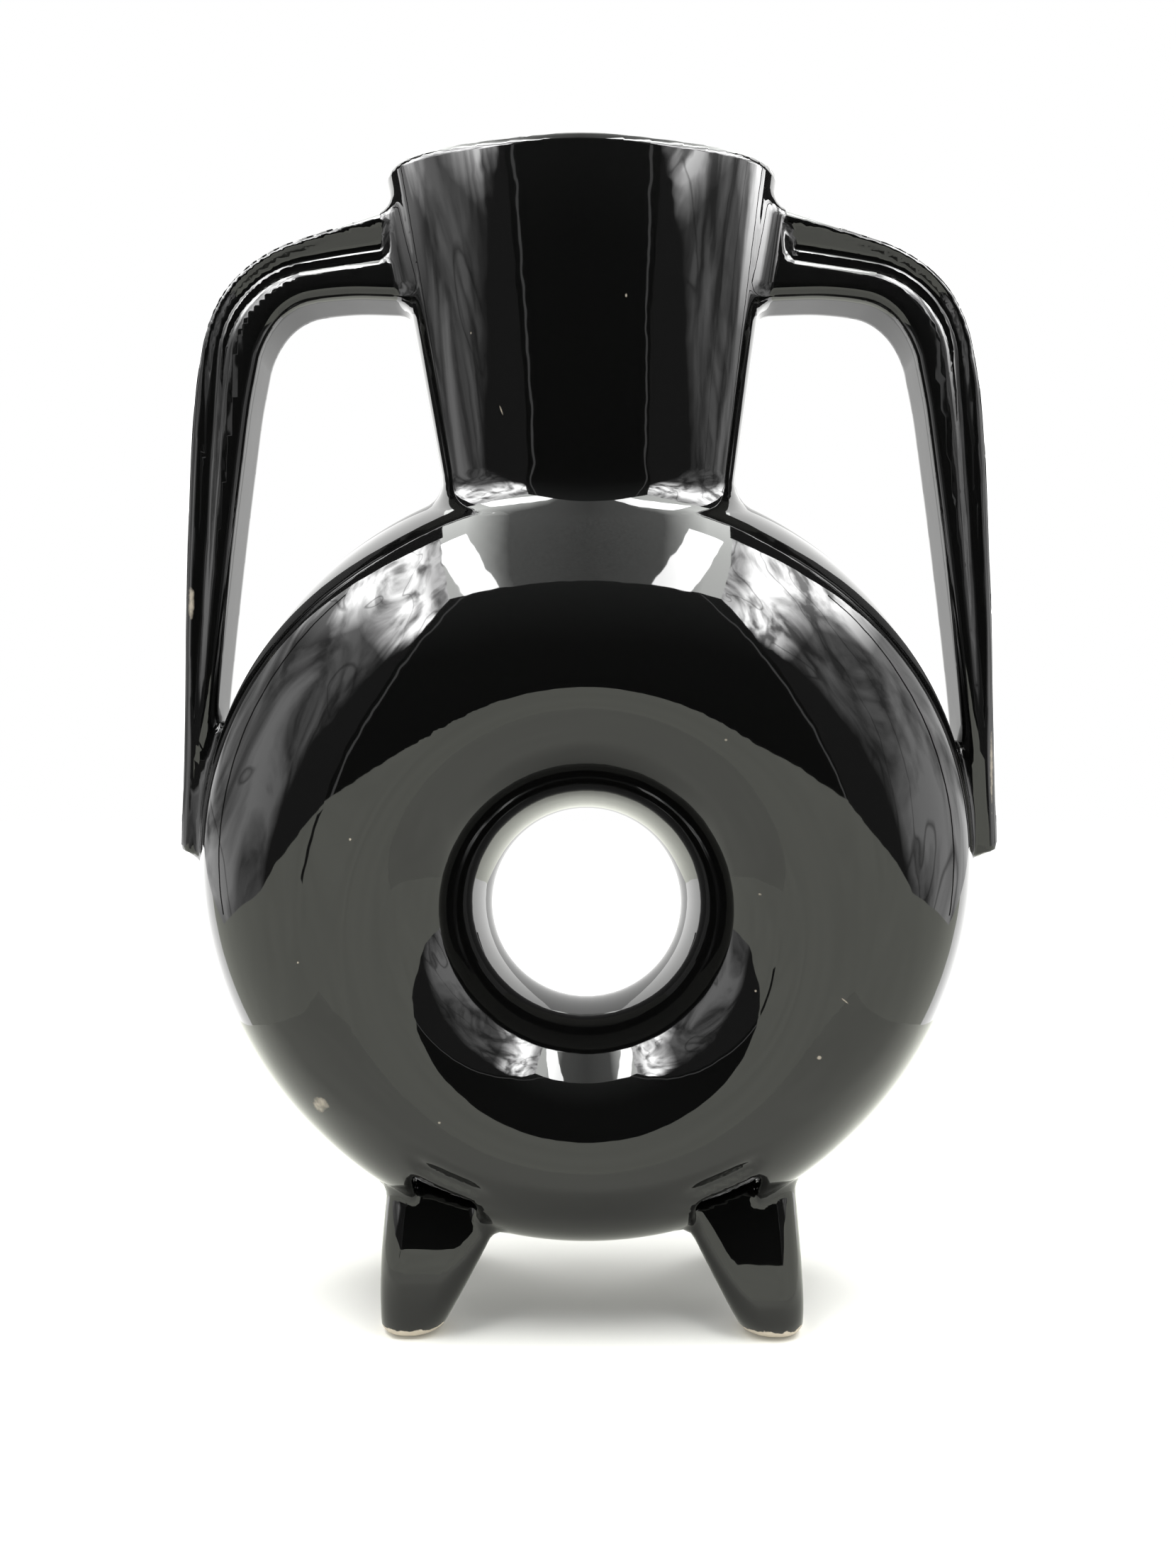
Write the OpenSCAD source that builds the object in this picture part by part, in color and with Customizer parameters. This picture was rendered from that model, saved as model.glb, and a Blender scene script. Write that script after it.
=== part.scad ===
// Ceramic flask vase, cast and glazed in one piece: a hollow ring body with an
// off-centre hole through it, an oval flared neck, two grooved handles and four
// wedge feet.  X runs across the handles, the front looks towards -Y, and the
// vase stands on z = 0.

/* [Ring body] */
// Outer radius of the ring, seen from the front
ring_r = 102; // [99:0.5:105]
// Height of the ring's axis above the table
ring_z = 119.5; // [117:0.5:122]
// Thickness of the ring, front to back
ring_t = 74; // [68:1:80]
// Radius of the hole at its throat
hole_r = 25.6; // [22:0.2:28]
// How far the hole's axis lies below the ring's axis
hole_drop = 14; // [10:0.5:16]
// Radius of the rounded lip where the hole opens onto each face
hole_lip = 31; // [24:1:33]
// Radius with which the faces turn into the sloping shoulder
shoulder_r = 53; // [45:1:60]
// Angle by which the shoulder falls back towards the neck
shoulder_fall = 27; // [22:0.5:30]
// Thickness of the cast wall
wall = 5; // [4:0.5:6]

/* [Neck] */
// Height of the rim above the table
vase_h = 300; // [290:1:310]
// Width of the rim
rim_w = 105.8; // [100:0.2:110]
// Size of the rim from front to back
rim_d = 57.6; // [54:0.2:62]
// Width of the neck where it leaves the ring
neck_w = 76.6; // [72:0.2:82]
// Height at which the neck leaves the ring
neck_z = 212; // [208:0.5:214]
// Bevel that softens the rim's inner and outer edges
rim_bevel = 1.6; // [1:0.1:2]

/* [Handles] */
// Size of the handle from front to back
handle_t = 17; // [15:0.5:20]
// Rounding of the handle's long edges
handle_round = 3.4; // [2.5:0.1:3.6]
// How far the bend's centre lies inside the ring's side
bend_in = 30; // [28:0.5:32]
// How far the bend's centre lies below the rim
bend_drop = 50; // [47:0.5:53]
// Radius of the bend along the middle of the handle
bend_r = 23.6; // [22:0.1:25]
// Height of the handle's section in the bend
bend_w = 18.6; // [17:0.1:20]
// Angle by which the arm falls away from the neck
arm_fall = 8; // [5:0.5:11]
// Height of the arm's section at the neck
arm_w = 24.6; // [22:0.1:26]
// Angle by which the leg leans outwards
leg_lean = 4.5; // [4:0.1:5]
// Height of the leg's lower end
leg_end_z = 120.5; // [116:0.5:126]
// Width of the leg's lower end
leg_end_w = 7; // [6.8:0.1:8]
// How far up from the leg's end clay fills the corner beside the ring
root_h = 34; // [20:1:36]
// Radius of the groove that runs along the handle's faces
groove_r = 7; // [6:0.1:8]
// Depth of that groove
groove_h = 2.2; // [1.2:0.1:2.6]

/* [Feet] */
// Distance of a foot's outer side from the vase's middle
foot_x = 51; // [49:0.5:53]
// Width of a foot where it runs into the ring
foot_w = 29; // [26:0.5:31]
// Width of a foot just above its tip
foot_tip_w = 15; // [14.5:0.5:17]
// Distance of a foot's front face from the vase's mid-plane
foot_y = 29; // [27:0.5:30]
// Length of a foot's sole from front to back
foot_l = 12; // [10:0.5:13]
// Rounding of the foot's corners and tip
foot_round = 7; // [5.5:0.1:7]
// How much of the rounded tip the flat sole cuts away
foot_cut = 1.4; // [1:0.1:2]

/* [Hidden] */
$fn = 96;
half_t = ring_t / 2;
// Flat faces meet rounded edges this much short of the arc's crown
crown = 0.08;
// Cutting bodies reach this far past the faces that they cut
over = 1;
hole_z = ring_z - hole_drop;
// The edge of the ring is a full half round, as thick as the ring
edge_x = ring_r - half_t;
// The lip's arc starts this far from the hole's axis
lip_x = hole_r + hole_lip;
lip_y = half_t + crown - hole_lip;
// The neck's cone starts inside the ring, its hollow a little higher
neck_low = neck_z - 32;
hollow_low = neck_low + 4;
neck_slope = (rim_w - neck_w) / 2 / (vase_h - neck_z);
// One part is made this much fuller than the one that ends inside it
lap = 0.15;
// Centre of the bend, which keeps the handle on the ring's side and below the rim
bend_x = ring_r - bend_in;
bend_z = vase_h - bend_drop;
// Ends of the bend, as [x, z] beside the vase's middle
bend_start = [bend_x + bend_r * sin(arm_fall), bend_z + bend_r * cos(arm_fall)];
bend_end = [bend_x + bend_r * cos(leg_lean), bend_z + bend_r * sin(leg_lean)];
// The arm starts inside the neck's wall, above the bend's centre
arm_x = neck_w / 2 + neck_slope * (bend_z + bend_r - neck_z) - 0.6 * wall;
arm_len = (bend_start[0] - arm_x) / cos(arm_fall);
leg_len = (bend_end[1] - leg_end_z) / cos(leg_lean);
// The grooves' axes lie outside the handle's faces
groove_y = handle_t / 2 + groove_r - groove_h;
// Length of the cone in which each groove runs out beside the neck
groove_cap = 3;
// The clay in the corner below the leg lies between these distances from the middle
root_in = ring_r - 8;
root_out = ring_r + 4;
// The feet end at this height, inside the ring
foot_top = ring_z - sqrt(pow(ring_r, 2) - pow(foot_x, 2)) + 4;
// The sole starts this far in from the foot's front face
sole_in = foot_round - sqrt(pow(foot_round, 2) - pow(foot_round - foot_cut, 2));
foot_arch = foot_y - sole_in - foot_l;

// Half of the ring's section, from the ring's axis outwards, `inset` under the skin
module ring_profile(inset) {
    face_y = half_t - inset - crown;
    translate([0, -face_y]) square([edge_x, 2 * face_y]);
    translate([edge_x, 0]) circle(r = half_t - inset);
}

// Half of the section inside the sloping shoulder, from the hole's axis outwards
module shoulder_profile(inset) {
    arc_r = shoulder_r - inset;
    centre = [hole_r + hole_lip, half_t + crown - shoulder_r];
    // the slope runs just inside the arc, and crosses it where it leaves it
    slope_r = arc_r - crown / 2;
    start = centre + slope_r * [sin(shoulder_fall), cos(shoulder_fall)]
            - slope_r / 4 * [cos(shoulder_fall), -sin(shoulder_fall)];
    for (side = [0, 1]) mirror([0, side]) intersection() {
        square([ring_r + half_t, half_t + over]);
        union() {
            square([centre[0], half_t + crown - inset]);
            translate(centre) circle(r = arc_r);
            polygon([[0, 0], [0, start[1]], start, [start[0] + start[1] / tan(shoulder_fall), 0]]);
        }
    }
}

// Half of the section that the hole takes away, from the hole's axis outwards
module hole_profile(inset) {
    reach = half_t + over;
    difference() {
        translate([0, -reach]) square([lip_x, 2 * reach]);
        translate([hole_r + inset + crown, -lip_y]) square([lip_x, 2 * lip_y]);
        for (side = [-1, 1]) translate([lip_x, side * lip_y]) circle(r = hole_lip - inset);
    }
}

// A body turned about the front-to-back line at height z
module turned(z) {
    translate([0, 0, z]) rotate([90, 0, 0]) rotate_extrude($fn = 128) children();
}

// The ring without its hole, `inset` under the skin
module ring_body(inset) {
    intersection() {
        turned(ring_z) ring_profile(inset);
        turned(hole_z) shoulder_profile(inset);
    }
}

module hole() {
    turned(hole_z) hole_profile(0);
}

module ring_cavity() {
    difference() {
        ring_body(wall);
        turned(hole_z) hole_profile(wall);
    }
}

// An oval cone between two heights, with half widths w1 and w2 and the depth as a share of them
module oval_cone(z1, w1, z2, w2, share) {
    translate([0, 0, z1]) scale([1, share, 1]) cylinder(h = z2 - z1, r1 = w1, r2 = w2);
}

module neck_body() {
    share = rim_d / rim_w;
    low_w = rim_w / 2 - neck_slope * (vase_h - neck_low);
    bevel_w = rim_w / 2 - rim_bevel;
    fall = vase_h - neck_low + 5;
    intersection() {
        oval_cone(neck_low, low_w, vase_h, rim_w / 2, share);
        oval_cone(vase_h - fall, bevel_w + fall, vase_h, bevel_w, share);
    }
}

module neck_cavity() {
    share = (rim_d / 2 - wall) / (rim_w / 2 - wall);
    mouth_w = rim_w / 2 - wall;
    flare = 3 * rim_bevel;
    oval_cone(hollow_low, mouth_w - neck_slope * (vase_h - hollow_low),
              vase_h + over, mouth_w + neck_slope * over, share);
    oval_cone(vase_h - flare, mouth_w + rim_bevel - flare,
              vase_h + over, mouth_w + rim_bevel + over, share);
}

// The handle's section: w along the first axis, t along the second, with soft corners
module strap_profile(w, t, r) {
    square([w - 2 * r, t], center = true);
    square([w, t - 2 * r], center = true);
    for (x = [-1, 1], y = [-1, 1])
        translate([x * (w / 2 - r), y * (t / 2 - r)]) circle(r = r, $fn = 24);
}

// A thin slice of the strap at [x, z], square to a line that falls by `turn` degrees from +X
module strap_slice(at, turn, w, r) {
    translate([at[0], 0, at[1]]) rotate([0, turn, 0]) rotate([90, 0, 90])
        linear_extrude(height = 1, center = true)
            rotate(90) strap_profile(w + 2 * lap, handle_t + 2 * lap, r);
}

module handle_bend() {
    translate([bend_x, 0, bend_z]) rotate([90, 0, 0])
        rotate_extrude(start = leg_lean, angle = 90 - arm_fall - leg_lean)
            translate([bend_r, 0]) difference() {
                strap_profile(bend_w, handle_t, handle_round);
                for (side = [-1, 1])
                    translate([0, side * groove_y]) circle(r = groove_r);
            }
}

module handle_arm() {
    start = [arm_x, bend_start[1] + arm_len * sin(arm_fall)];
    groove_len = (bend_start[0] - rim_w / 2) / cos(arm_fall);
    difference() {
        hull() {
            strap_slice(start, arm_fall, arm_w, handle_round);
            strap_slice(bend_start, arm_fall, bend_w, handle_round);
        }
        for (side = [-1, 1])
            translate([bend_start[0], side * groove_y, bend_start[1]])
                rotate([0, arm_fall - 90, 0]) translate([0, 0, -2]) {
                    cylinder(h = groove_len + 2, r = groove_r - lap);
                    translate([0, 0, groove_len + 1.9])
                        cylinder(h = groove_cap, r1 = groove_r - lap, r2 = groove_r - groove_cap);
                }
    }
}

module handle_leg() {
    end = [bend_end[0] + leg_len * sin(leg_lean), leg_end_z];
    run_out = atan(groove_h / leg_len);
    difference() {
        hull() {
            strap_slice(bend_end, 90 - leg_lean, bend_w, handle_round);
            strap_slice(end, 90 - leg_lean, leg_end_w, handle_round - 0.2);
        }
        for (side = [-1, 1])
            translate([bend_end[0], side * groove_y, bend_end[1]])
                rotate([0, 180 - leg_lean, 0]) rotate([side * run_out, 0, 0])
                    translate([0, 0, -2]) cylinder(h = leg_len + 2, r = groove_r - lap);
    }
}

// Clay that fills the sharp corner between the leg and the ring
module handle_root() {
    root_t = handle_t - 2 * handle_round;
    translate([root_in, -root_t / 2, leg_end_z + 1]) cube([root_out - root_in, root_t, root_h]);
}

module handle() {
    handle_arm();
    handle_bend();
    handle_leg();
    handle_root();
}

// The front and back foot of one side: one wedge, with an arch cut out between them
module foot_pair() {
    outer = foot_x - foot_round;
    span = foot_y - foot_round;
    difference() {
        hull()
            for (y = [-span, span]) {
                for (x = [foot_x - foot_w + foot_round, outer])
                    translate([x, y, foot_top]) cylinder(h = 1, r = foot_round, $fn = 32);
                for (x = [foot_x - foot_tip_w + foot_round, outer])
                    translate([x, y, foot_round - foot_cut]) sphere(r = foot_round, $fn = 32);
            }
        rotate([90, 0, 90]) linear_extrude(height = foot_x + over)
            polygon([[-foot_arch, -over], [foot_arch, -over], [foot_arch / 2, foot_top - 1],
                     [-foot_arch / 2, foot_top - 1]]);
        translate([0, -foot_y - over, -2 * foot_cut])
            cube([foot_x + over, 2 * (foot_y + over), 2 * foot_cut]);
    }
}

module vase() {
    color("#141414") difference() {
        union() {
            ring_body(0);
            neck_body();
            handle();
            mirror([1, 0, 0]) handle();
            foot_pair();
            mirror([1, 0, 0]) foot_pair();
        }
        hole();
        ring_cavity();
        neck_cavity();
    }
}

vase();
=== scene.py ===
import math

import bpy
import numpy as np
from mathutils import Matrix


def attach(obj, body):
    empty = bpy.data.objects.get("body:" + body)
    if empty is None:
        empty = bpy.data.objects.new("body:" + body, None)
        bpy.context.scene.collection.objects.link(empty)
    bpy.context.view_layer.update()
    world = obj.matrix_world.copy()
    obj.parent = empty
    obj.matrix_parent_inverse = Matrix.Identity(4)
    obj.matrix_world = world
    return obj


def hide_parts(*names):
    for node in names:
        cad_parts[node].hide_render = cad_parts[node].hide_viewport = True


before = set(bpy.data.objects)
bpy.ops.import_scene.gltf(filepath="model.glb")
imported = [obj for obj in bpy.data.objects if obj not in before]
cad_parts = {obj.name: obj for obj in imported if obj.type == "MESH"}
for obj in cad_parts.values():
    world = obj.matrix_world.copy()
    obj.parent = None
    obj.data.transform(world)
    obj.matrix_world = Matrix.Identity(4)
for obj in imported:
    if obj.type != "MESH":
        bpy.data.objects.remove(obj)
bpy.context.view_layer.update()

# ---------------------------------------------------------------- shape of the vase
# All sizes below are in millimetres, in the frame of the CAD model.

# Ring body: its outer circle, its frontmost circle and its hole have axes at different heights
RING_R, RING_Z = 102.3, 120.0
FRONT_R, FRONT_Z = 60.4, 101.5
HOLE_R, HOLE_Z = 25.6, 105.5
HALF_T = 36.8
WALL = 5.0
# Powers of the section's superellipse at the top, the sides and the bottom of the ring
POWER_TOP, POWER_SIDE, POWER_LOW = 1.62, 2.25, 2.0
# and inside the frontmost circle, at the top and at the bottom
LIP_TOP, LIP_LOW = 2.0, 1.85

# Neck: half width and half depth at its foot and their growth, and the power of its oval
NECK_Z, RIM_Z = 212.0, 300.0
NECK_A, NECK_SLOPE = 38.3, 0.1655
NECK_B, NECK_B_LEAST = 14.3, 2.0
NECK_BULGE = (0.19, -0.0008)
NECK_POWER = 2.5
# Depth and half width of its bulging middle
NOSE, NOSE_HALF = 3.0, 20.0
# It leans a little to one side
NECK_SHIFT, NECK_LEAN = 0.8, -0.024
# Where the neck and its bore start inside the ring
NECK_FROM, BORE_FROM = 190.0, 196.0
RIM_ROUND = 2.3
NECK_FILLET, BORE_FILLET = 5.5, 6.0

# Handle: a line that falls from the neck, a bend and a leg, as the CAD model has them
BEND_X, BEND_Z, BEND_R = 72.0, 250.0, 23.3
ARM_FALL, LEG_LEAN = math.radians(8.0), math.radians(4.5)
HALF_STRAP = 8.25
STRAP_ROUND = 3.2
HANDLE_FROM_X = 34.0
HANDLE_FILLET = 4.0
# The leg's lower end is cut off at this height and x, sloping down towards the ring
LEG_END, LEG_END_X, LEG_END_SLOPE, LEG_END_ROUND = 120.0, 109.0, 0.25, 1.5
# The handles sit a little to the right, and their legs more so over this height
HANDLE_SHIFT, LEG_SHIFT, LEG_SHIFT_SPAN = 0.35, 0.35, 100.0
# Stations along the handle, counted from the start of the bend, and its outer and inner side
OUTER_T = (-40, -24, -12, -2, 5, 10, 15, 20, 26, 31, 36, 42, 50, 60, 75, 90, 106, 124, 143, 165)
OUTER_V = (17.2, 14.2, 12.1, 10.3, 8.9, 8.35, 8.2, 7.85, 7.5, 7.8, 8.4, 8.75, 8.8, 8.65, 8.05,
           7.35, 6.5, 5.3, 4.2, 3.1)
INNER_T = (-40, -24, -12, -3, 5, 11, 19, 26, 32, 36, 44, 56, 72, 87, 103, 119, 165)
INNER_V = (-13.0, -9.7, -7.6, -7.1, -7.7, -8.2, -8.65, -8.6, -8.0, -7.5, -6.6, -6.0, -5.2, -4.6,
           -4.05, -3.6, -3.0)
# Groove along the handle's faces: its middle, half width and depth at some stations
GROOVE_T = (-30, -12, 0, 15, 30, 50, 100, 135)
GROOVE_V = (5.0, 5.0, 4.6, 3.7, 3.3, 3.0, 2.0, 1.5)
GROOVE_HALF = (6.3, 6.3, 6.1, 5.6, 4.7, 3.6, 2.9, 2.6)
GROOVE_DEEP = (3.4, 3.4, 3.3, 2.9, 2.2, 1.5, 0.8, 0.0)
# It runs out towards the neck at this x, and ends short of the handle's outer side
GROOVE_END_X, GROOVE_END_FADE = 53.5, 3.0
GROOVE_RIM, GROOVE_RIM_FADE = 0.6, 3.2

# Feet: outer side, shift of the inner side, and the front face at some heights
FOOT_LEFT = {"out": 51.6, "inner": -1.6, "z": (0, 4, 8, 12, 16, 20, 24, 28, 32, 36, 40, 44),
             "y": (27.6, 29.4, 30.3, 30.6, 30.4, 29.6, 28.1, 26.2, 24.0, 21.5, 18.8, 16.0)}
FOOT_RIGHT = {"out": 54.3, "inner": 1.1, "z": (0, 4, 8, 12, 16, 20, 24, 28, 32, 36, 40, 44),
              "y": (28.2, 30.6, 31.0, 30.3, 29.0, 27.4, 25.7, 24.0, 22.2, 20.1, 17.7, 15.0)}
# Two points of the slanting inner side, as (x, z)
FOOT_INNER = ((24.2, 26.2), (34.9, 6.5))
# Flare of the outer side: its size, where it starts, the height that it takes, how many times
# that height it goes on for, and its power
FOOT_FLARE, FLARE_Z, FLARE_SPAN, FLARE_MOST, FLARE_POWER = 0.3, 9.0, 22.0, 1.4, 1.5
# Back face: its distance from the middle on the floor, its slope, and the length of its normal
FOOT_ARCH, ARCH_SLOPE, ARCH_LENGTH = 14.5, 0.35, 1.06
FOOT_TOP = 60.0
# Roundings of the inner edge, the back edge, the upright edges and the sole
INNER_ROUND, BACK_ROUND, FOOT_ROUND, SOLE_ROUND = 5.0, 3.0, 6.5, 2.8
FOOT_FILLET = 2.5

# Notch that the ring leaves above each foot's front: its radius, its two sides and its depth
NOTCH_R, NOTCH_X, NOTCH_DEEP = 88.6, (27.0, 42.8), 4.0
# Roundings of its sides, its back and its mouth
NOTCH_ROUND, NOTCH_BACK_ROUND, NOTCH_MOUTH_ROUND = 2.5, 1.0, 1.7
# Shallow dent above each foot: its radius, middle, depth and half sizes, and its highest point
DENT_R, DENT_X, DENT_DEEP = 84.8, 33.0, 1.6
DENT_HALF_R, DENT_HALF_X, DENT_TOP = 1.8, 8.0, 70.0

# Grid on which the surface is found, as (from, step) along x, y and z
GRID_X = ((-112, 1.45), (-84, 1.75), (-54, 1.6), (-24, 3.0), (24, 1.6), (54, 1.75), (84, 1.45),
          (112, 1.45))
GRID_Y = ((-39, 1.8), (-11, 1.45), (11, 1.8), (39, 1.8))
GRID_Z = ((-2, 1.3), (45, 2.45), (236, 1.6), (303, 1.6))

# Steps for slopes, the farthest distance that is told, and guards against division by zero
FIELD_STEP, MESH_STEP, FAR = 0.05, 0.03, 40.0
TINY, LEAST_SLOPE, LEAST_PULL = 1e-6, 1e-8, 0.05
MM_PER_M = 1000.0


def smooth_table(t, v, spread):
    """Evenly spaced copy of a short table, with its corners rounded off."""
    spacing, spreads, overhang = 0.5, 4, 20.0
    grid = np.arange(t[0] - overhang, t[-1] + overhang, spacing)
    reach = np.arange(-spreads * spread, spreads * spread + spacing, spacing)
    kernel = np.exp(-0.5 * (reach / spread) ** 2)
    fine = np.interp(grid, t, v)
    pad = len(reach) // 2
    fine = np.concatenate([np.full(pad, fine[0]), fine, np.full(pad, fine[-1])])
    return grid, np.convolve(fine, kernel / kernel.sum(), "valid")


OUTER = smooth_table(OUTER_T, OUTER_V, 2.5)
INNER = smooth_table(INNER_T, INNER_V, 2.5)
GROOVE = [smooth_table(GROOVE_T, v, 5.0) for v in (GROOVE_V, GROOVE_HALF, GROOVE_DEEP)]
FEET = [(foot, smooth_table(foot["z"], foot["y"], 1.5)) for foot in (FOOT_LEFT, FOOT_RIGHT)]


def join(a, b, r):
    """Union of two distances with a fillet of radius r."""
    return np.maximum(r, np.minimum(a, b)) - np.hypot(np.maximum(r - a, 0), np.maximum(r - b, 0))


def common(a, b, r):
    """Intersection of two distances with an edge rounded by r."""
    return np.minimum(-r, np.maximum(a, b)) + np.hypot(np.maximum(r + a, 0), np.maximum(r + b, 0))


def distance(field, p):
    """First-order distance to the surface on which field is zero."""
    value = field(p)
    slope = np.zeros_like(value)
    for axis in range(3):
        q = list(p)
        q[axis] = p[axis] + FIELD_STEP
        ahead = field(q)
        q[axis] = p[axis] - FIELD_STEP
        slope += ((ahead - field(q)) / (2 * FIELD_STEP)) ** 2
    return np.clip(value / np.sqrt(np.maximum(slope, LEAST_SLOPE)), -FAR, FAR)


def circle_share(x, z, end_r, end_z):
    """Share of the way from the frontmost circle to an end circle, by circles in between."""
    shift, growth = end_z - FRONT_Z, end_r - FRONT_R
    zf = z - FRONT_Z
    qa = growth * growth - shift * shift
    qb = FRONT_R * growth + zf * shift
    qc = FRONT_R * FRONT_R - x * x - zf * zf
    root = np.sqrt(np.maximum(qb * qb - qa * qc, 0))
    return (-qb + math.copysign(1.0, growth) * root) / qa


def ring_field(p):
    """The section runs from the frontmost circle, round the hole, to the ring's outer circle."""
    x, y, z = p
    outer = circle_share(x, z, RING_R, RING_Z)
    inner = circle_share(x, z, HOLE_R, HOLE_Z)
    within = np.hypot(x, z - FRONT_Z) < FRONT_R
    s = np.where(within, inner, outer)
    zr = z - RING_Z
    up = zr / np.sqrt(x * x + zr * zr + TINY)
    power = POWER_SIDE + np.where(up > 0, POWER_TOP - POWER_SIDE, POWER_LOW - POWER_SIDE) * up ** 2
    zh = z - HOLE_Z
    up = zh / np.sqrt(x * x + zh * zh + TINY)
    power = np.where(within, (LIP_TOP + LIP_LOW) / 2 + (LIP_TOP - LIP_LOW) / 2 * up, power)
    return (np.abs(s) ** power + np.abs(y / HALF_T) ** power) ** (1 / power) - 1


def neck_field(inset):
    """Field of the neck's flaring oval, made smaller all round by inset."""
    def field(p):
        x, y, z = p
        up = z - NECK_Z
        a = NECK_A + NECK_SLOPE * up - inset
        b = NECK_B + NECK_BULGE[0] * up + NECK_BULGE[1] * up * up - inset
        b = np.maximum(b, NECK_B_LEAST) + NOSE * np.exp(-(x / NOSE_HALF) ** 2)
        oval = np.abs(x / a) ** NECK_POWER + np.abs(y / b) ** NECK_POWER
        return oval ** (1 / NECK_POWER) - 1
    return field


def handle_distance(p):
    """The right handle, in its own place along t and across v."""
    x, y, z = p
    px, pz = x - BEND_X, z - BEND_Z
    before = px * np.cos(ARM_FALL) - pz * np.sin(ARM_FALL)
    beyond = px * np.sin(LEG_LEAN) - pz * np.cos(LEG_LEAN)
    on_arm = (before < 0) & (beyond <= 0)
    on_leg = beyond > 0
    turn = np.pi / 2 - ARM_FALL - LEG_LEAN
    angle = np.clip(np.pi / 2 - ARM_FALL - np.arctan2(pz, px), 0, turn)
    t = np.where(on_arm, before, BEND_R * angle)
    t = np.where(on_leg, BEND_R * turn + beyond, t)
    v = np.where(on_arm, px * np.sin(ARM_FALL) + pz * np.cos(ARM_FALL),
                 np.where(on_leg, px * np.cos(LEG_LEAN) + pz * np.sin(LEG_LEAN), np.hypot(px, pz)))
    v = v - BEND_R
    out, inn = np.interp(t, *OUTER), np.interp(t, *INNER)
    middle, half = (out + inn) / 2, (out - inn) / 2
    # the groove makes the strap thinner
    g_mid, g_half, g_deep = (np.interp(t, *g) for g in GROOVE)
    u = np.clip((v - g_mid) / g_half, -1, 1)
    deep = g_deep * np.cos(0.5 * np.pi * u) ** 2
    deep = deep * np.clip((x - GROOVE_END_X) / GROOVE_END_FADE + 0.5, 0, 1)
    rim = np.clip((out - GROOVE_RIM - v) / GROOVE_RIM_FADE, 0, 1)
    deep = deep * rim * rim * (3 - 2 * rim)
    qx = np.abs(v - middle) - (half - STRAP_ROUND)
    qy = np.abs(y) + deep - (HALF_STRAP - STRAP_ROUND)
    strap = np.hypot(np.maximum(qx, 0), np.maximum(qy, 0))
    strap = strap + np.minimum(np.maximum(qx, qy), 0) - STRAP_ROUND
    leg_end = LEG_END - LEG_END_SLOPE * (LEG_END_X - x)
    strap = common(strap, leg_end - z, LEG_END_ROUND)
    return np.maximum(strap, HANDLE_FROM_X - x)


def foot_distance(p, foot, front_table):
    """One side's front and back foot; x is counted outwards."""
    x, y, z = p
    y = np.abs(y)
    flare = FOOT_FLARE * np.clip((z - FLARE_Z) / FLARE_SPAN, 0, FLARE_MOST) ** FLARE_POWER
    outer = x - foot["out"] + flare
    (x1, z1), (x2, z2) = FOOT_INNER
    run = math.hypot(x2 - x1, z1 - z2)
    inner = -((x - x1 - foot["inner"]) * (z1 - z2) + (z - z1) * (x2 - x1)) / run
    front = y - np.interp(z, *front_table)
    back = (FOOT_ARCH - ARCH_SLOPE * z - y) / ARCH_LENGTH
    side = common(outer, inner, INNER_ROUND)
    d = common(common(front, back, BACK_ROUND), side, FOOT_ROUND)
    d = common(d, -z, SOLE_ROUND)
    return np.maximum(d, z - FOOT_TOP)


def notch_distance(p, front_table):
    """Space in front of a foot's face and beyond the notch's radius; x is counted outwards."""
    x, y, z = p
    front = np.interp(z, *front_table) - NOTCH_DEEP - np.abs(y)
    sides = np.maximum(NOTCH_X[0] - x, x - NOTCH_X[1])
    below = common(NOTCH_R - np.hypot(x, z - RING_Z), sides, NOTCH_ROUND)
    return common(below, front, NOTCH_BACK_ROUND)


def by_side(x, left, right):
    """The left value where x is negative, else the right one."""
    return np.where(x < 0, left, right)


def vase_distance(p):
    """The whole vase: ring, neck, handles and feet, less its hollow."""
    x, y, z = p
    solid_ring = distance(ring_field, p)
    left_p, right_p = [-x, y, z], [x, y, z]
    (left, left_front), (right, right_front) = FEET
    notch = by_side(x, notch_distance(left_p, left_front), notch_distance(right_p, right_front))
    ring = common(solid_ring, -np.maximum(notch, z - FOOT_TOP), NOTCH_MOUTH_ROUND)
    dent = np.exp(-((np.hypot(x, z - RING_Z) - DENT_R) / DENT_HALF_R) ** 2)
    dent = dent * np.exp(-((np.abs(x) - DENT_X) / DENT_HALF_X) ** 4)
    ring = ring + DENT_DEEP * dent * (z < DENT_TOP)

    lean = NECK_SHIFT + NECK_LEAN * (z - NECK_Z)
    neck_p = [x - lean, y, z]
    neck = common(distance(neck_field(0.0), neck_p), z - RIM_Z, RIM_ROUND)
    body = join(ring, np.maximum(neck, NECK_FROM - z), NECK_FILLET)
    shift = HANDLE_SHIFT + LEG_SHIFT * np.clip((BEND_Z - z) / LEG_SHIFT_SPAN, 0, 1)
    body = join(body, handle_distance([np.abs(x - shift), y, z]), HANDLE_FILLET)
    foot = by_side(x, foot_distance(left_p, left, left_front),
                   foot_distance(right_p, right, right_front))
    body = join(body, foot, FOOT_FILLET)

    bore = np.maximum(distance(neck_field(WALL), neck_p), BORE_FROM - z)
    hollow = join(solid_ring + WALL, bore, BORE_FILLET)
    return common(body, -hollow, RIM_ROUND)


# ---------------------------------------------------------------- mesh of the vase

def steps(stops):
    """Grid coordinates through ((from, step), ..., end)."""
    out = []
    for (start, step), (stop, _) in zip(stops[:-1], stops[1:]):
        count = max(1, round((stop - start) / step))
        out.append(np.linspace(start, stop, count, endpoint=False))
    return np.concatenate(out + [[stops[-1][0]]])


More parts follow.
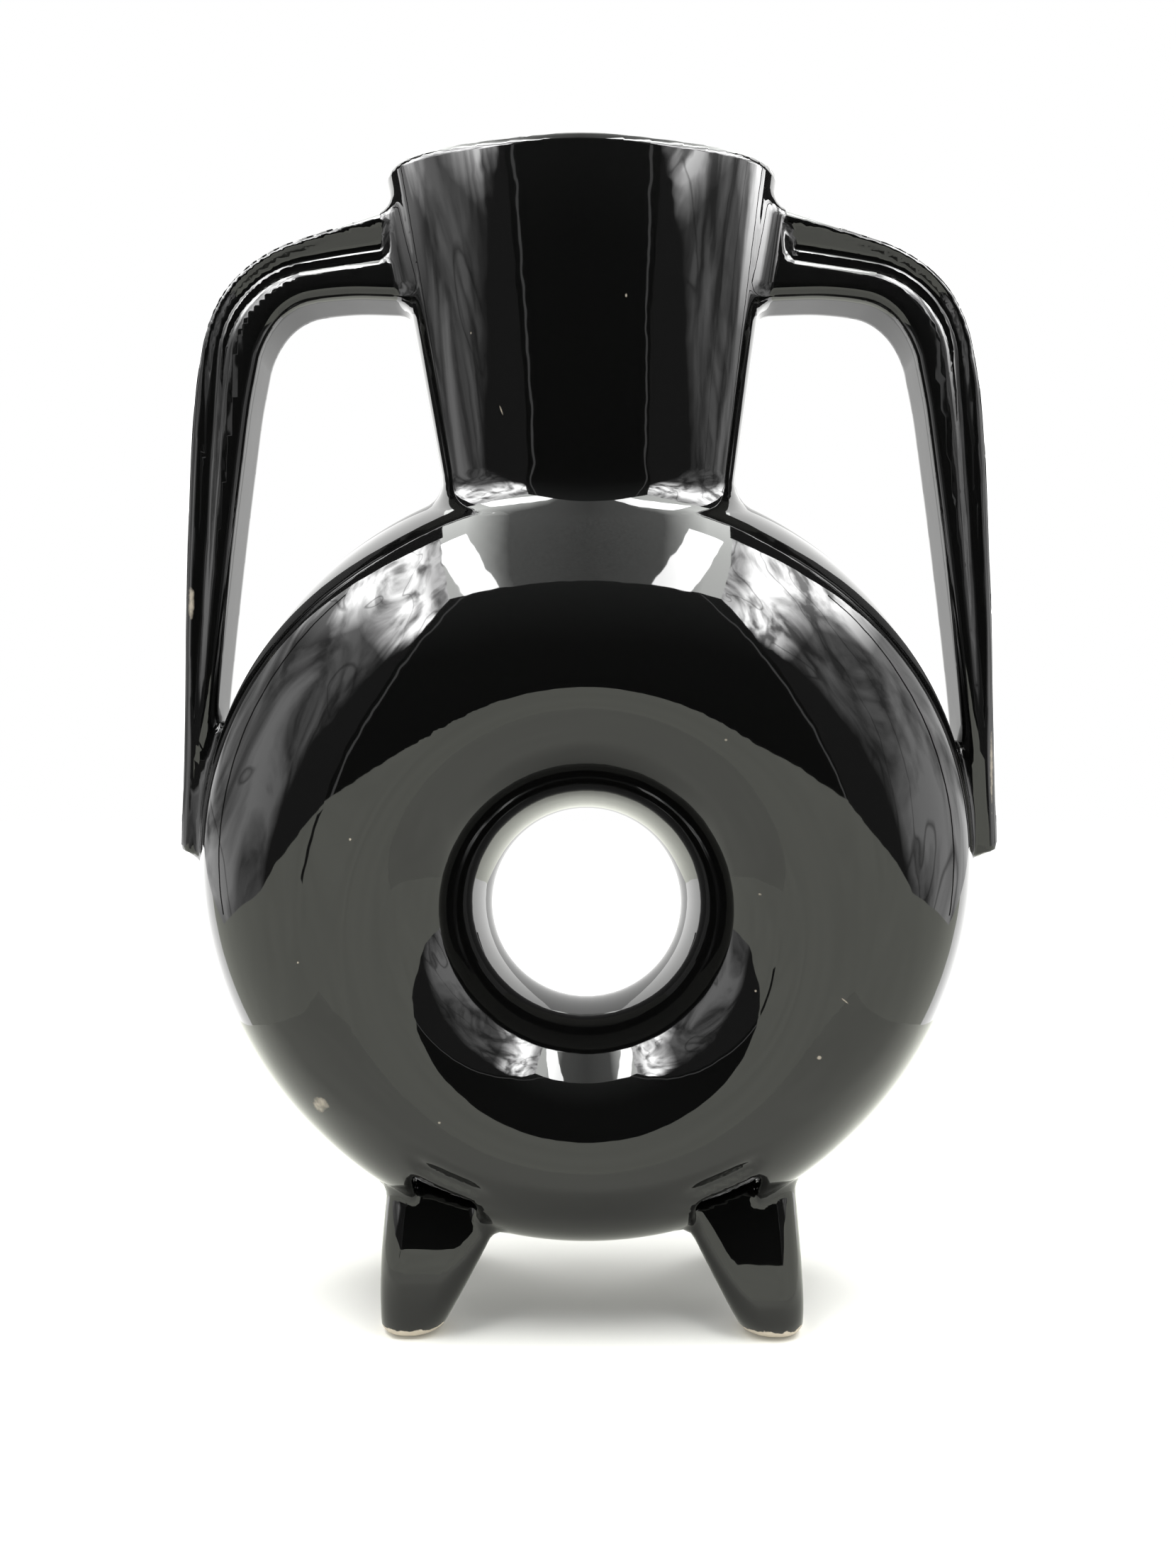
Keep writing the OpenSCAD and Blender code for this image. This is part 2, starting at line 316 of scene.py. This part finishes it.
def surface_nets(fn, axes):
    """Closed quad mesh of the surface where fn is zero, with one vertex in each crossed cell."""
    grid = np.meshgrid(*axes, indexing="ij")
    shape = grid[0].shape
    value = fn([g.ravel() for g in grid]).reshape(shape)
    inside = value < 0
    cells = [n - 1 for n in shape]
    total = np.zeros(cells + [3])
    count = np.zeros(cells)
    crossings = []
    for axis in range(3):
        low, high = [slice(None)] * 3, [slice(None)] * 3
        low[axis], high[axis] = slice(None, -1), slice(1, None)
        low, high = tuple(low), tuple(high)
        at = np.argwhere(inside[low] != inside[high])
        first, second = value[low][tuple(at.T)], value[high][tuple(at.T)]
        share = first / (first - second)
        point = np.stack([axes[k][at[:, k]] for k in range(3)], axis=1)
        point[:, axis] += share * (axes[axis][at[:, axis] + 1] - axes[axis][at[:, axis]])
        crossings.append((axis, at, inside[low][tuple(at.T)]))
        u, w = [k for k in range(3) if k != axis]
        for du, dw in ((0, 0), (0, 1), (1, 0), (1, 1)):
            cell = at.copy()
            cell[:, u] -= du
            cell[:, w] -= dw
            np.add.at(total, tuple(cell.T), point)
            np.add.at(count, tuple(cell.T), 1)
    used = np.argwhere(count > 0)
    number = np.full(count.shape, -1)
    number[tuple(used.T)] = np.arange(len(used))
    verts = total[tuple(used.T)] / count[tuple(used.T)][:, None]
    faces = []
    for axis, at, inner_first in crossings:
        u, w = ((1, 2), (2, 0), (0, 1))[axis]
        corners = []
        for du, dw in ((1, 1), (0, 1), (0, 0), (1, 0)):
            cell = at.copy()
            cell[:, u] -= du
            cell[:, w] -= dw
            corners.append(number[tuple(cell.T)])
        quad = np.stack(corners, axis=1)
        quad[~inner_first] = quad[~inner_first][:, ::-1]
        faces.append(quad)
    return verts, np.concatenate(faces)


def gradient(fn, verts):
    """Slopes of fn at the vertices."""
    grad = np.zeros_like(verts)
    for axis in range(3):
        q = verts.copy()
        q[:, axis] += MESH_STEP
        ahead = fn(list(q.T))
        q[:, axis] -= 2 * MESH_STEP
        grad[:, axis] = (ahead - fn(list(q.T))) / (2 * MESH_STEP)
    return grad


def settle(fn, verts, faces):
    """Pull the vertices onto the surface and spread them evenly over it."""
    rounds, longest_pull = 2, 1.0

    def project(v):
        g = gradient(fn, v)
        square = np.maximum((g * g).sum(axis=1), LEAST_PULL)
        return v - np.clip((fn(list(v.T)) / square)[:, None] * g, -longest_pull, longest_pull)

    edges = np.concatenate([faces[:, [i, (i + 1) % 4]] for i in range(4)])
    verts = project(verts)
    for _ in range(rounds):
        total = np.zeros_like(verts)
        count = np.zeros(len(verts))
        np.add.at(total, edges[:, 0], verts[edges[:, 1]])
        np.add.at(count, edges[:, 0], 1)
        verts = project(0.5 * verts + 0.5 * total / count[:, None])
    return project(verts)


def build_vase():
    """Mesh of the vase in metres, with normals from the slope of its distance."""
    verts, faces = surface_nets(vase_distance, [steps(s) for s in (GRID_X, GRID_Y, GRID_Z)])
    verts = settle(vase_distance, verts, faces)
    normals = gradient(vase_distance, verts)
    normals /= np.maximum(np.linalg.norm(normals, axis=1), TINY)[:, None]
    mesh = bpy.data.meshes.new("vase_glazed")
    mesh.vertices.add(len(verts))
    mesh.vertices.foreach_set("co", (verts / MM_PER_M).astype(np.float32).ravel())
    mesh.loops.add(faces.size)
    mesh.loops.foreach_set("vertex_index", faces.astype(np.int32).ravel())
    mesh.polygons.add(len(faces))
    mesh.polygons.foreach_set("loop_start", np.arange(0, faces.size, 4, dtype=np.int32))
    mesh.update(calc_edges=True)
    mesh.validate()
    mesh.shade_smooth()
    mesh.normals_split_custom_set_from_vertices(normals)
    piece = bpy.data.objects.new("vase_glazed", mesh)
    bpy.context.scene.collection.objects.link(piece)
    return piece


# ---------------------------------------------------------------- materials
# All sizes from here on are in metres.

# Noises, as scale, detail and distortion
PEEL_NOISE, RAGGED_NOISE = (75.0, 2.0), (420.0, 3.0)
FOLD_NOISE, SWIRL_NOISE, CREASE_NOISE = (7.0, 3.0, 0.9), (4.5, 5.0, 2.6), (3.2, 2.0, 1.4)
SHEET_NOISE, CEILING_NOISE, ROOM_NOISE = (6.0, 3.0, 3.0), (260.0, 2.0), (200.0, 2.0)


class Tree:
    """Emptied node tree of a material or world, with a short method for each kind of node."""

    def __init__(self, owner):
        owner.use_nodes = True
        self.nodes, self.links = owner.node_tree.nodes, owner.node_tree.links
        self.nodes.clear()

    def fill(self, node, values):
        """Set a node's inputs to numbers and colours, or link them to other nodes' outputs."""
        for key, value in values.items():
            if isinstance(value, bpy.types.NodeSocket):
                self.links.new(value, node.inputs[key])
            else:
                node.inputs[key].default_value = value
        return node.outputs

    def new(self, kind, **values):
        """Outputs of a new node; its inputs are named with _ for a space."""
        named = {key.replace("_", " "): value for key, value in values.items()}
        return self.fill(self.nodes.new(kind), named)

    def calc(self, kind, *values, clamp=False):
        node = self.nodes.new("ShaderNodeMath")
        node.operation, node.use_clamp = kind, clamp
        return self.fill(node, dict(enumerate(values)))[0]

    def add(self, a, b):
        return self.calc("ADD", a, b)

    def sub(self, a, b):
        return self.calc("SUBTRACT", a, b)

    def mul(self, a, b):
        return self.calc("MULTIPLY", a, b)

    def ramp(self, value, start, end):
        """0 at start, 1 at end, and clamped outside them."""
        return self.calc("DIVIDE", self.sub(value, start), end - start, clamp=True)

    def mix(self, share, first, second):
        """Shader that goes from the first to the second as share goes from 0 to 1."""
        node = self.nodes.new("ShaderNodeMixShader")
        return self.fill(node, {0: share, 1: first[0], 2: second[0]})

    def noise(self, vector, scale, detail, distortion=0.0):
        return self.new("ShaderNodeTexNoise", Vector=vector, Scale=scale, Detail=detail,
                        Distortion=distortion)["Fac"]

    def place(self):
        """Object coordinates as a vector and as x, y and z."""
        vector = self.new("ShaderNodeTexCoord")["Object"]
        return (vector, *self.new("ShaderNodeSeparateXYZ", Vector=vector))


def new_material(name, shader):
    """Material whose surface is what the function shader makes in its tree."""
    mat = bpy.data.materials.new(name)
    tree = Tree(mat)
    tree.new("ShaderNodeOutputMaterial", Surface=shader(tree)[0])
    return mat


def card_material(name, colour, strength):
    """A glowing card; its strength is a number, or a function that builds a texture's value."""
    def shader(tree):
        power = strength(tree) if callable(strength) else strength
        return tree.new("ShaderNodeEmission", Color=(*colour, 1), Strength=power)
    return new_material(name, shader)


# Glaze: its base colour, roughness and index, and its orange peel's strength and height
GLAZE_COLOUR, GLAZE_ROUGHNESS, GLAZE_IOR = (0.0018, 0.0018, 0.0018, 1), 0.025, 1.6
PEEL_STRENGTH, PEEL_HEIGHT = 0.25, 0.00025
# Clay: its colour and roughness, the height up to which the soles are bare, and how ragged and
# how sharp that line is
CLAY_COLOUR, CLAY_ROUGHNESS = (0.52, 0.46, 0.38, 1), 0.85
BARE_TOP, BARE_RAGGED, BARE_SHARP = 0.0014, 0.0028, 4000.0
# Share of clay in a flaw, the reach of a flaw and how ragged its outline is
FLAW_SHARE, FLAW_REACH, FLAW_RAGGED = 0.5, 2.2, 2.4
# Flaws of the glaze: x, z, half width, half height and tilt in degrees
FLAWS = (
    (-0.1046, 0.1857, 0.0009, 0.0042, 0), (-0.0650, 0.0594, 0.0022, 0.0022, 0),
    (-0.0353, 0.0563, 0.0004, 0.0003, 0), (0.0560, 0.0720, 0.0006, 0.0005, 0),
    (0.0621, 0.0856, 0.0002, 0.0012, 50), (-0.0567, 0.1244, 0.0003, 0.0003, 0),
    (-0.0694, 0.0947, 0.0003, 0.0003, 0), (0.0424, 0.1107, 0.0004, 0.0003, 0),
    (0.0413, 0.0872, 0.0003, 0.0003, 0), (-0.0296, 0.2532, 0.0003, 0.0004, 0),
    (0.0100, 0.2604, 0.0003, 0.0005, 0), (-0.0219, 0.2337, 0.0002, 0.0014, 20),
    (0.0335, 0.1483, 0.0004, 0.0003, 0), (0.1072, 0.1410, 0.0005, 0.0110, 0),
)


def flaw(tree, x, z, ragged, spot):
    """1 inside a tilted, ragged ellipse seen from the front."""
    x0, z0, half_x, half_z, tilt = spot
    turn = math.radians(tilt)
    dx, dz = tree.sub(x, x0), tree.sub(z, z0)
    squares = []
    for share_x, share_z, half in ((math.cos(turn), math.sin(turn), half_x),
                                   (-math.sin(turn), math.cos(turn), half_z)):
        along = tree.add(tree.mul(dx, share_x / half), tree.mul(dz, share_z / half))
        squares.append(tree.mul(along, along))
    reach = tree.add(tree.add(*squares), tree.mul(ragged, FLAW_RAGGED))
    return tree.calc("SUBTRACT", FLAW_REACH, reach, clamp=True)


def glaze_shader(tree):
    """Black gloss, with bare clay at the soles and in the flaws of the front."""
    vector, x, y, z = tree.place()
    ragged = tree.noise(vector, *RAGGED_NOISE)
    height = tree.sub(z, tree.mul(ragged, BARE_RAGGED))
    bare = tree.calc("MULTIPLY", tree.sub(BARE_TOP, height), BARE_SHARP, clamp=True)

    flaws = [flaw(tree, x, z, ragged, spot) for spot in FLAWS]
    broken = flaws[0]
    for other in flaws[1:]:
        broken = tree.calc("MAXIMUM", broken, other)
    broken = tree.mul(broken, tree.calc("LESS_THAN", y, 0.0))
    bare = tree.calc("MAXIMUM", bare, tree.mul(broken, FLAW_SHARE))

    peel = tree.new("ShaderNodeBump", Strength=PEEL_STRENGTH, Distance=PEEL_HEIGHT,
                    Height=tree.noise(vector, *PEEL_NOISE))
    glaze = tree.new("ShaderNodeBsdfPrincipled", Base_Color=GLAZE_COLOUR,
                     Roughness=GLAZE_ROUGHNESS, IOR=GLAZE_IOR, Normal=peel["Normal"])
    clay = tree.new("ShaderNodeBsdfPrincipled", Base_Color=CLAY_COLOUR,
                    Roughness=CLAY_ROUGHNESS)
    return tree.mix(bare, glaze, clay)


# Floor: its colour and own glow, and the distances between which it turns white for the camera
FLOOR_COLOUR, FLOOR_GLOW = (0.82, 0.82, 0.79, 1), 0.05
WHITE_FROM, WHITE_FULL = 0.15, 0.21
# For glossy rays: the share that sees the painted glow, its level, the painted light added to it
# between these y, and the share left in the painted shadow under the vase, which grows between
# these radii
MIRRORED_SHARE, MIRRORED_LEVEL = 0.8, 0.9
PAINTED_LIGHT_BEHIND, BEHIND_FROM, BEHIND_FULL = 1.3, -0.08, 0.06
SHADOW_LEAST, SHADOW_FROM, SHADOW_FULL = 0.3, 0.04, 0.12
# Sheet: its colour, its level, and the strength of its streaks, which are painted shade of its
# folds
SHEET_COLOUR, SHEET_LEVEL, SHEET_STREAKS = (0.98, 1, 0.89), 1.2, 0.35


def sheet_folds(tree, level=SHEET_LEVEL):
    """White sheet with faint long streaks of painted fold shade."""
    vector, _, _, _ = tree.place()
    return tree.add(tree.mul(tree.noise(vector, *SHEET_NOISE), SHEET_STREAKS), level)


def floor_shader(tree):
    """Pale floor, which the camera sees white where the light box keeps its lamps away. Glossy
    rays see a painted glow, with painted light behind the vase and a painted shadow under it.
    """
    _, x, y, _ = tree.place()
    away = tree.calc("MAXIMUM", tree.calc("ABSOLUTE", x), tree.calc("ABSOLUTE", y))
    path = tree.new("ShaderNodeLightPath")
    white = tree.mul(tree.ramp(away, WHITE_FROM, WHITE_FULL), path["Is Camera Ray"])
    plain = tree.new("ShaderNodeBsdfDiffuse", Color=FLOOR_COLOUR)
    glow = tree.new("ShaderNodeEmission", Strength=tree.add(white, FLOOR_GLOW))
    seen = tree.fill(tree.nodes.new("ShaderNodeAddShader"), {0: plain[0], 1: glow[0]})
    # in the glaze it is a painted glow about as bright as the sheet, with painted light behind the
    # vase and a painted shadow under it
    behind = tree.mul(tree.ramp(y, BEHIND_FROM, BEHIND_FULL), PAINTED_LIGHT_BEHIND)
    bright = tree.add(behind, sheet_folds(tree, MIRRORED_LEVEL))
    radius = tree.calc("SQRT", tree.add(tree.mul(x, x), tree.mul(y, y)))
    painted_shadow = tree.mul(tree.ramp(radius, SHADOW_FROM, SHADOW_FULL), 1 - SHADOW_LEAST)
    painted_shadow = tree.add(painted_shadow, SHADOW_LEAST)
    mirrored_painted_glow = tree.new("ShaderNodeEmission", Color=(*SHEET_COLOUR, 1),
                        Strength=tree.mul(bright, painted_shadow))
    return tree.mix(tree.mul(path["Is Glossy Ray"], MIRRORED_SHARE), seen, mirrored_painted_glow)


# Silver cloth, whose glow is painted light. It is painted lit above a line and painted in shade
# below it: height at y = 0, fall towards the back, waves and softness
CLOTH_LINE, CLOTH_FALL, CLOTH_WAVES, CLOTH_SOFT = -0.22, 1.65, 0.14, 0.03
# Its brightest painted light: strength, heights over which it starts, and how much lower behind
# these y
BRIGHT_CLOTH, BRIGHT_FROM, BRIGHT_FULL = 13.0, 0.38, 0.49
BRIGHT_LOWER, LOWER_FROM, LOWER_FULL = 0.09, -0.15, -0.05
# Painted shade just under the ceiling: it darkens by this share over these heights
TOP_DARKER, TOP_FROM, TOP_FULL = 0.6, 0.56, 0.62
# The rest of its painted light: strength at the front and what is added towards the back, over
# these y
PLAIN_CLOTH, PLAIN_MORE, PLAIN_FROM, PLAIN_FULL = 0.5, 0.8, -0.3, -0.1
SHADED_CLOTH = 0.10
# Swirls of painted sheen: the noise values between which they brighten, by how much, and their
# darkest share
SWIRL_FROM, SWIRL_FULL, SWIRL_GAIN, SWIRL_LEAST = 0.36, 0.60, 1.25, 0.2
# Creases of painted shade lie where a noise crosses this value, and end this far from it
CREASE_AT, CREASE_FROM, CREASE_FULL = 0.5, -0.008, 0.012


def silver(tree):
    """Creased silver cloth with painted light: bright under the strips, painted shade towards the
    front and below.
    """
    vector, _, y, z = tree.place()
    line = tree.sub(CLOTH_LINE, tree.mul(y, CLOTH_FALL))
    line = tree.add(line, tree.mul(tree.noise(vector, *FOLD_NOISE), CLOTH_WAVES))
    lit = tree.ramp(tree.sub(z, line), -CLOTH_SOFT, CLOTH_SOFT)
    lower = tree.mul(tree.ramp(y, LOWER_FROM, LOWER_FULL), BRIGHT_LOWER)
    high = tree.ramp(tree.add(z, lower), BRIGHT_FROM, BRIGHT_FULL)
    below_top = tree.sub(1.0, tree.mul(tree.ramp(z, TOP_FROM, TOP_FULL), TOP_DARKER))
    plain = tree.mul(tree.ramp(y, PLAIN_FROM, PLAIN_FULL), PLAIN_MORE)
    bright = tree.add(tree.mul(tree.mul(high, below_top), BRIGHT_CLOTH),
                      tree.add(plain, PLAIN_CLOTH))
    # broad swirls of painted sheen and thin creases of painted shade
    swirl = tree.ramp(tree.noise(vector, *SWIRL_NOISE), SWIRL_FROM, SWIRL_FULL)
    swirl = tree.calc("MULTIPLY_ADD", swirl, SWIRL_GAIN, SWIRL_LEAST)
    crease = tree.sub(tree.noise(vector, *CREASE_NOISE), CREASE_AT)
    crease = tree.ramp(tree.calc("ABSOLUTE", crease), CREASE_FROM, CREASE_FULL)
    bright = tree.mul(bright, tree.mul(swirl, crease))
    return tree.add(tree.mul(bright, lit), SHADED_CLOTH)


# Ceiling: strength in the middle, its painted light growing outwards, the painted glow beside the
# strips, its specks
CEILING_MIDDLE, CEILING_GROWTH, CEILING_SPECKS = 0.3, 3.0, 0.7
STRIP_GLOW, STRIP_GLOW_FROM, STRIP_GLOW_FULL = 6.0, 0.11, 0.18
# Opening: strength at its foot, the painted light above and the heights over which it comes, its
# specks
ROOM_DIM, ROOM_SPECKS = 0.03, 1.2
UPPER_LIGHT, UPPER_LIGHT_FROM, UPPER_LIGHT_FULL = 0.20, 0.38, 0.68


def ceiling(tree):
    """Grey speckled cloth with painted light that brightens towards the strips."""
    vector, x, _, _ = tree.place()
    side = tree.calc("ABSOLUTE", x)
    glow = tree.mul(tree.ramp(side, STRIP_GLOW_FROM, STRIP_GLOW_FULL), STRIP_GLOW)
    side = tree.add(tree.mul(side, CEILING_GROWTH), glow)
    speck = tree.mul(tree.noise(vector, *CEILING_NOISE), CEILING_SPECKS)
    return tree.add(tree.add(side, speck), CEILING_MIDDLE)


def opening(tree):
    """Dim room in front of the light box, painted as a faint glow with painted light a little
    lighter upwards.
    """
    vector, _, _, z = tree.place()
    room_light = tree.add(tree.mul(tree.ramp(z, UPPER_LIGHT_FROM, UPPER_LIGHT_FULL), UPPER_LIGHT), ROOM_DIM)
    return tree.mul(room_light, tree.mul(tree.noise(vector, *ROOM_NOISE), ROOM_SPECKS))


# ---------------------------------------------------------------- stage, lamps and camera

# Light box: half width, half length and height, and the height of its front lip
BOX_X, BOX_Y, BOX_TOP, BOX_LIP = 0.225, 0.400, 0.680, 0.165
FLOOR_HALF = 4
# Light strips: width and length, y, x and turn in degrees of each, and power in watts
STRIP_SIZE = (0.062, 0.33)
STRIP_Y = -0.235
STRIPS = ((-0.186, 8.0), (0.152, -9.0))
STRIP_POWER = 0.95
# Strengths of the plain cards, and of the world as it lights the vase and as the camera sees it
BACKDROP_GLOW, BACK_GLOW, GAP_GLOW, PIPING_GLOW = 3.0, 1.4, 0.06, 0.7
WORLD_GLOW, WORLD_SEEN = 0.25, 1.0
# Distances between cards that lie over each other, and of the lamps and the slit from the box
LAYER, LAMP_DROP, SLIT_IN = 0.0005, 0.004, 0.004

# On the side walls, as (y, z): white sheet, sheet behind the vase, slit, gap behind the cloth,
# which is painted shade, backdrop, and seam in the cloth
SHEET = ((-0.4, 0), (-0.4, 0.162), (-0.3, 0.14), (-0.2, 0.118), (-0.14, 0.098), (-0.06, 0.085),
         (0.0, 0.074), (0.04, 0.09), (0.04, 0))
BEHIND = ((0.04, 0), (0.04, 0.09), (0.1, 0.115), (0.4, 0.115), (0.4, 0))
SLIT = ((-0.4, 0.155), (-0.375, 0.152), (-0.33, 0.10), (-0.345, 0.095))
BACKDROP_EDGE = ((0.16, 0.115), (0.15, 0.20), (0.12, 0.28), (0.085, 0.36), (0.063, 0.45),
                 (0.058, 0.56), (0.075, 0.68))
GAP = ((-0.035, 0.68), (-0.03, 0.55), (-0.008, 0.42), (0.02, 0.33), (0.06, 0.22), (0.1, 0.115),
       *BACKDROP_EDGE)
BACKDROP = ((0.4, 0.115), *BACKDROP_EDGE, (0.4, 0.68))
SEAM = ((-0.018, 0.38), (-0.006, 0.08), (-0.001, 0.08), (-0.013, 0.38))
# In the opening, as (x, z): light piping at its edges
PIPING = (((-0.212, 0.165), (-0.214, 0.45), (-0.197, 0.67), (-0.191, 0.67), (-0.209, 0.45),
           (-0.206, 0.165)),
          ((0.216, 0.165), (0.206, 0.45), (0.176, 0.67), (0.181, 0.67), (0.211, 0.45),
           (0.221, 0.165)))


def card(name, corners, material, seen=False):
    """Flat stage piece, which the camera sees only if seen is true."""
    mesh = bpy.data.meshes.new(name)
    mesh.from_pydata(corners, [], [tuple(range(len(corners)))])
    piece = bpy.data.objects.new(name, mesh)
    bpy.context.scene.collection.objects.link(piece)
    mesh.materials.append(material)
    piece.visible_camera = seen


def level(half_x, half_y, z):
    """Corners of a rectangle that lies level."""
    return [(-half_x, -half_y, z), (half_x, -half_y, z), (half_x, half_y, z), (-half_x, half_y, z)]


def upright(y, low, high):
    """Corners of a rectangle across the box."""
    return [(-BOX_X, y, low), (BOX_X, y, low), (BOX_X, y, high), (-BOX_X, y, high)]


def build_stage():
    """Floor, and the light box of glowing cards that the glaze mirrors, several of them with
    painted light and shade; its cards are hidden from the camera.
    """
    card("floor", level(FLOOR_HALF, FLOOR_HALF, 0), new_material("pale_floor", floor_shader),
         seen=True)
    sheet = card_material("white_sheet", SHEET_COLOUR, sheet_folds)
    backdrop = card_material("backdrop", (1, 1, 0.99), BACKDROP_GLOW)
    cloth = card_material("silver_cloth", (1, 1, 1), silver)
    # The gap behind the cloth is painted shade, a dark card where there is only shade; the slit
    # and the seam use the same dark card
    dark_card = card_material("dark_gap", (1, 1, 1), GAP_GLOW)
    wall = ((-BOX_Y, 0), (-BOX_Y, BOX_TOP), (BOX_Y, BOX_TOP), (BOX_Y, 0))
    side_cards = (("cloth_card", wall, cloth), ("backdrop_card", BACKDROP, backdrop),
                  ("sheet_card", SHEET, sheet), ("behind_card", BEHIND, backdrop),
                  ("gap_card", GAP, dark_card), ("seam_card", SEAM, dark_card))
    for side in (-1, 1):
        for depth, (name, outline, material) in enumerate(side_cards):
            x = side * BOX_X - side * LAYER * depth
            card(name, [(x, y, z) for y, z in outline], material)
    card("slit_card", [(-BOX_X + SLIT_IN, y, z) for y, z in SLIT], dark_card)
    card("back_card", upright(BOX_Y, 0, BOX_TOP),
         card_material("back_glow", (1, 1, 0.99), BACK_GLOW))
    card("ceiling_card", level(BOX_X, BOX_Y, BOX_TOP),
         card_material("ceiling_cloth", (0.98, 1, 0.97), ceiling))
    card("lip_card", upright(-BOX_Y, 0, BOX_LIP), sheet)
    card("room_card", upright(-BOX_Y, BOX_LIP, BOX_TOP),
         card_material("dim_room", (0.95, 1, 0.97), opening))
    piping = card_material("piping", (1, 1, 1), PIPING_GLOW)
    for outline in PIPING:
        card("piping_card", [(x, LAYER - BOX_Y, z) for x, z in outline], piping)
    for x, turn in STRIPS:
        lamp = bpy.data.lights.new("strip", "AREA")
        lamp.shape = "RECTANGLE"
        lamp.size, lamp.size_y = STRIP_SIZE
        lamp.energy = STRIP_POWER
        piece = bpy.data.objects.new("strip", lamp)
        piece.location = (x, STRIP_Y, BOX_TOP - LAMP_DROP)
        piece.rotation_euler[2] = math.radians(turn)
        piece.visible_camera = False
        bpy.context.scene.collection.objects.link(piece)


def build_world():
    """Dim even light, which the camera sees white."""
    world = bpy.data.worlds.new("studio")
    tree = Tree(world)
    dim, white = (tree.new("ShaderNodeBackground", Color=(1, 1, 1, 1), Strength=strength)
                  for strength in (WORLD_GLOW, WORLD_SEEN))
    by_camera = tree.new("ShaderNodeLightPath")["Is Camera Ray"]
    tree.new("ShaderNodeOutputWorld", Surface=tree.mix(by_camera, dim, white)[0])
    bpy.context.scene.world = world


# The photograph: 2212 px high, taken by a level camera with a focal length of 1662 px
FOCAL_PX, LONG_PX = 1662.0, 2212.0
SENSOR_MM = 36.0
CAMERA_AT = (0.0004, -0.3196, 0.1377)


def build_camera():
    """Level camera at the photograph's place, with its angle of view."""
    data = bpy.data.cameras.new("camera")
    data.sensor_width = SENSOR_MM
    data.lens = SENSOR_MM * FOCAL_PX / LONG_PX
    data.clip_start = 0.01
    camera = bpy.data.objects.new("camera", data)
    camera.location = CAMERA_AT
    camera.rotation_euler = (math.pi / 2, 0, 0)
    bpy.context.scene.collection.objects.link(camera)
    bpy.context.scene.camera = camera


bpy.context.scene.view_settings.view_transform = "Standard"
vase = build_vase()
vase.data.materials.append(new_material("black_glaze", glaze_shader))
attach(vase, "root")
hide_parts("vase")
build_stage()
build_world()
build_camera()
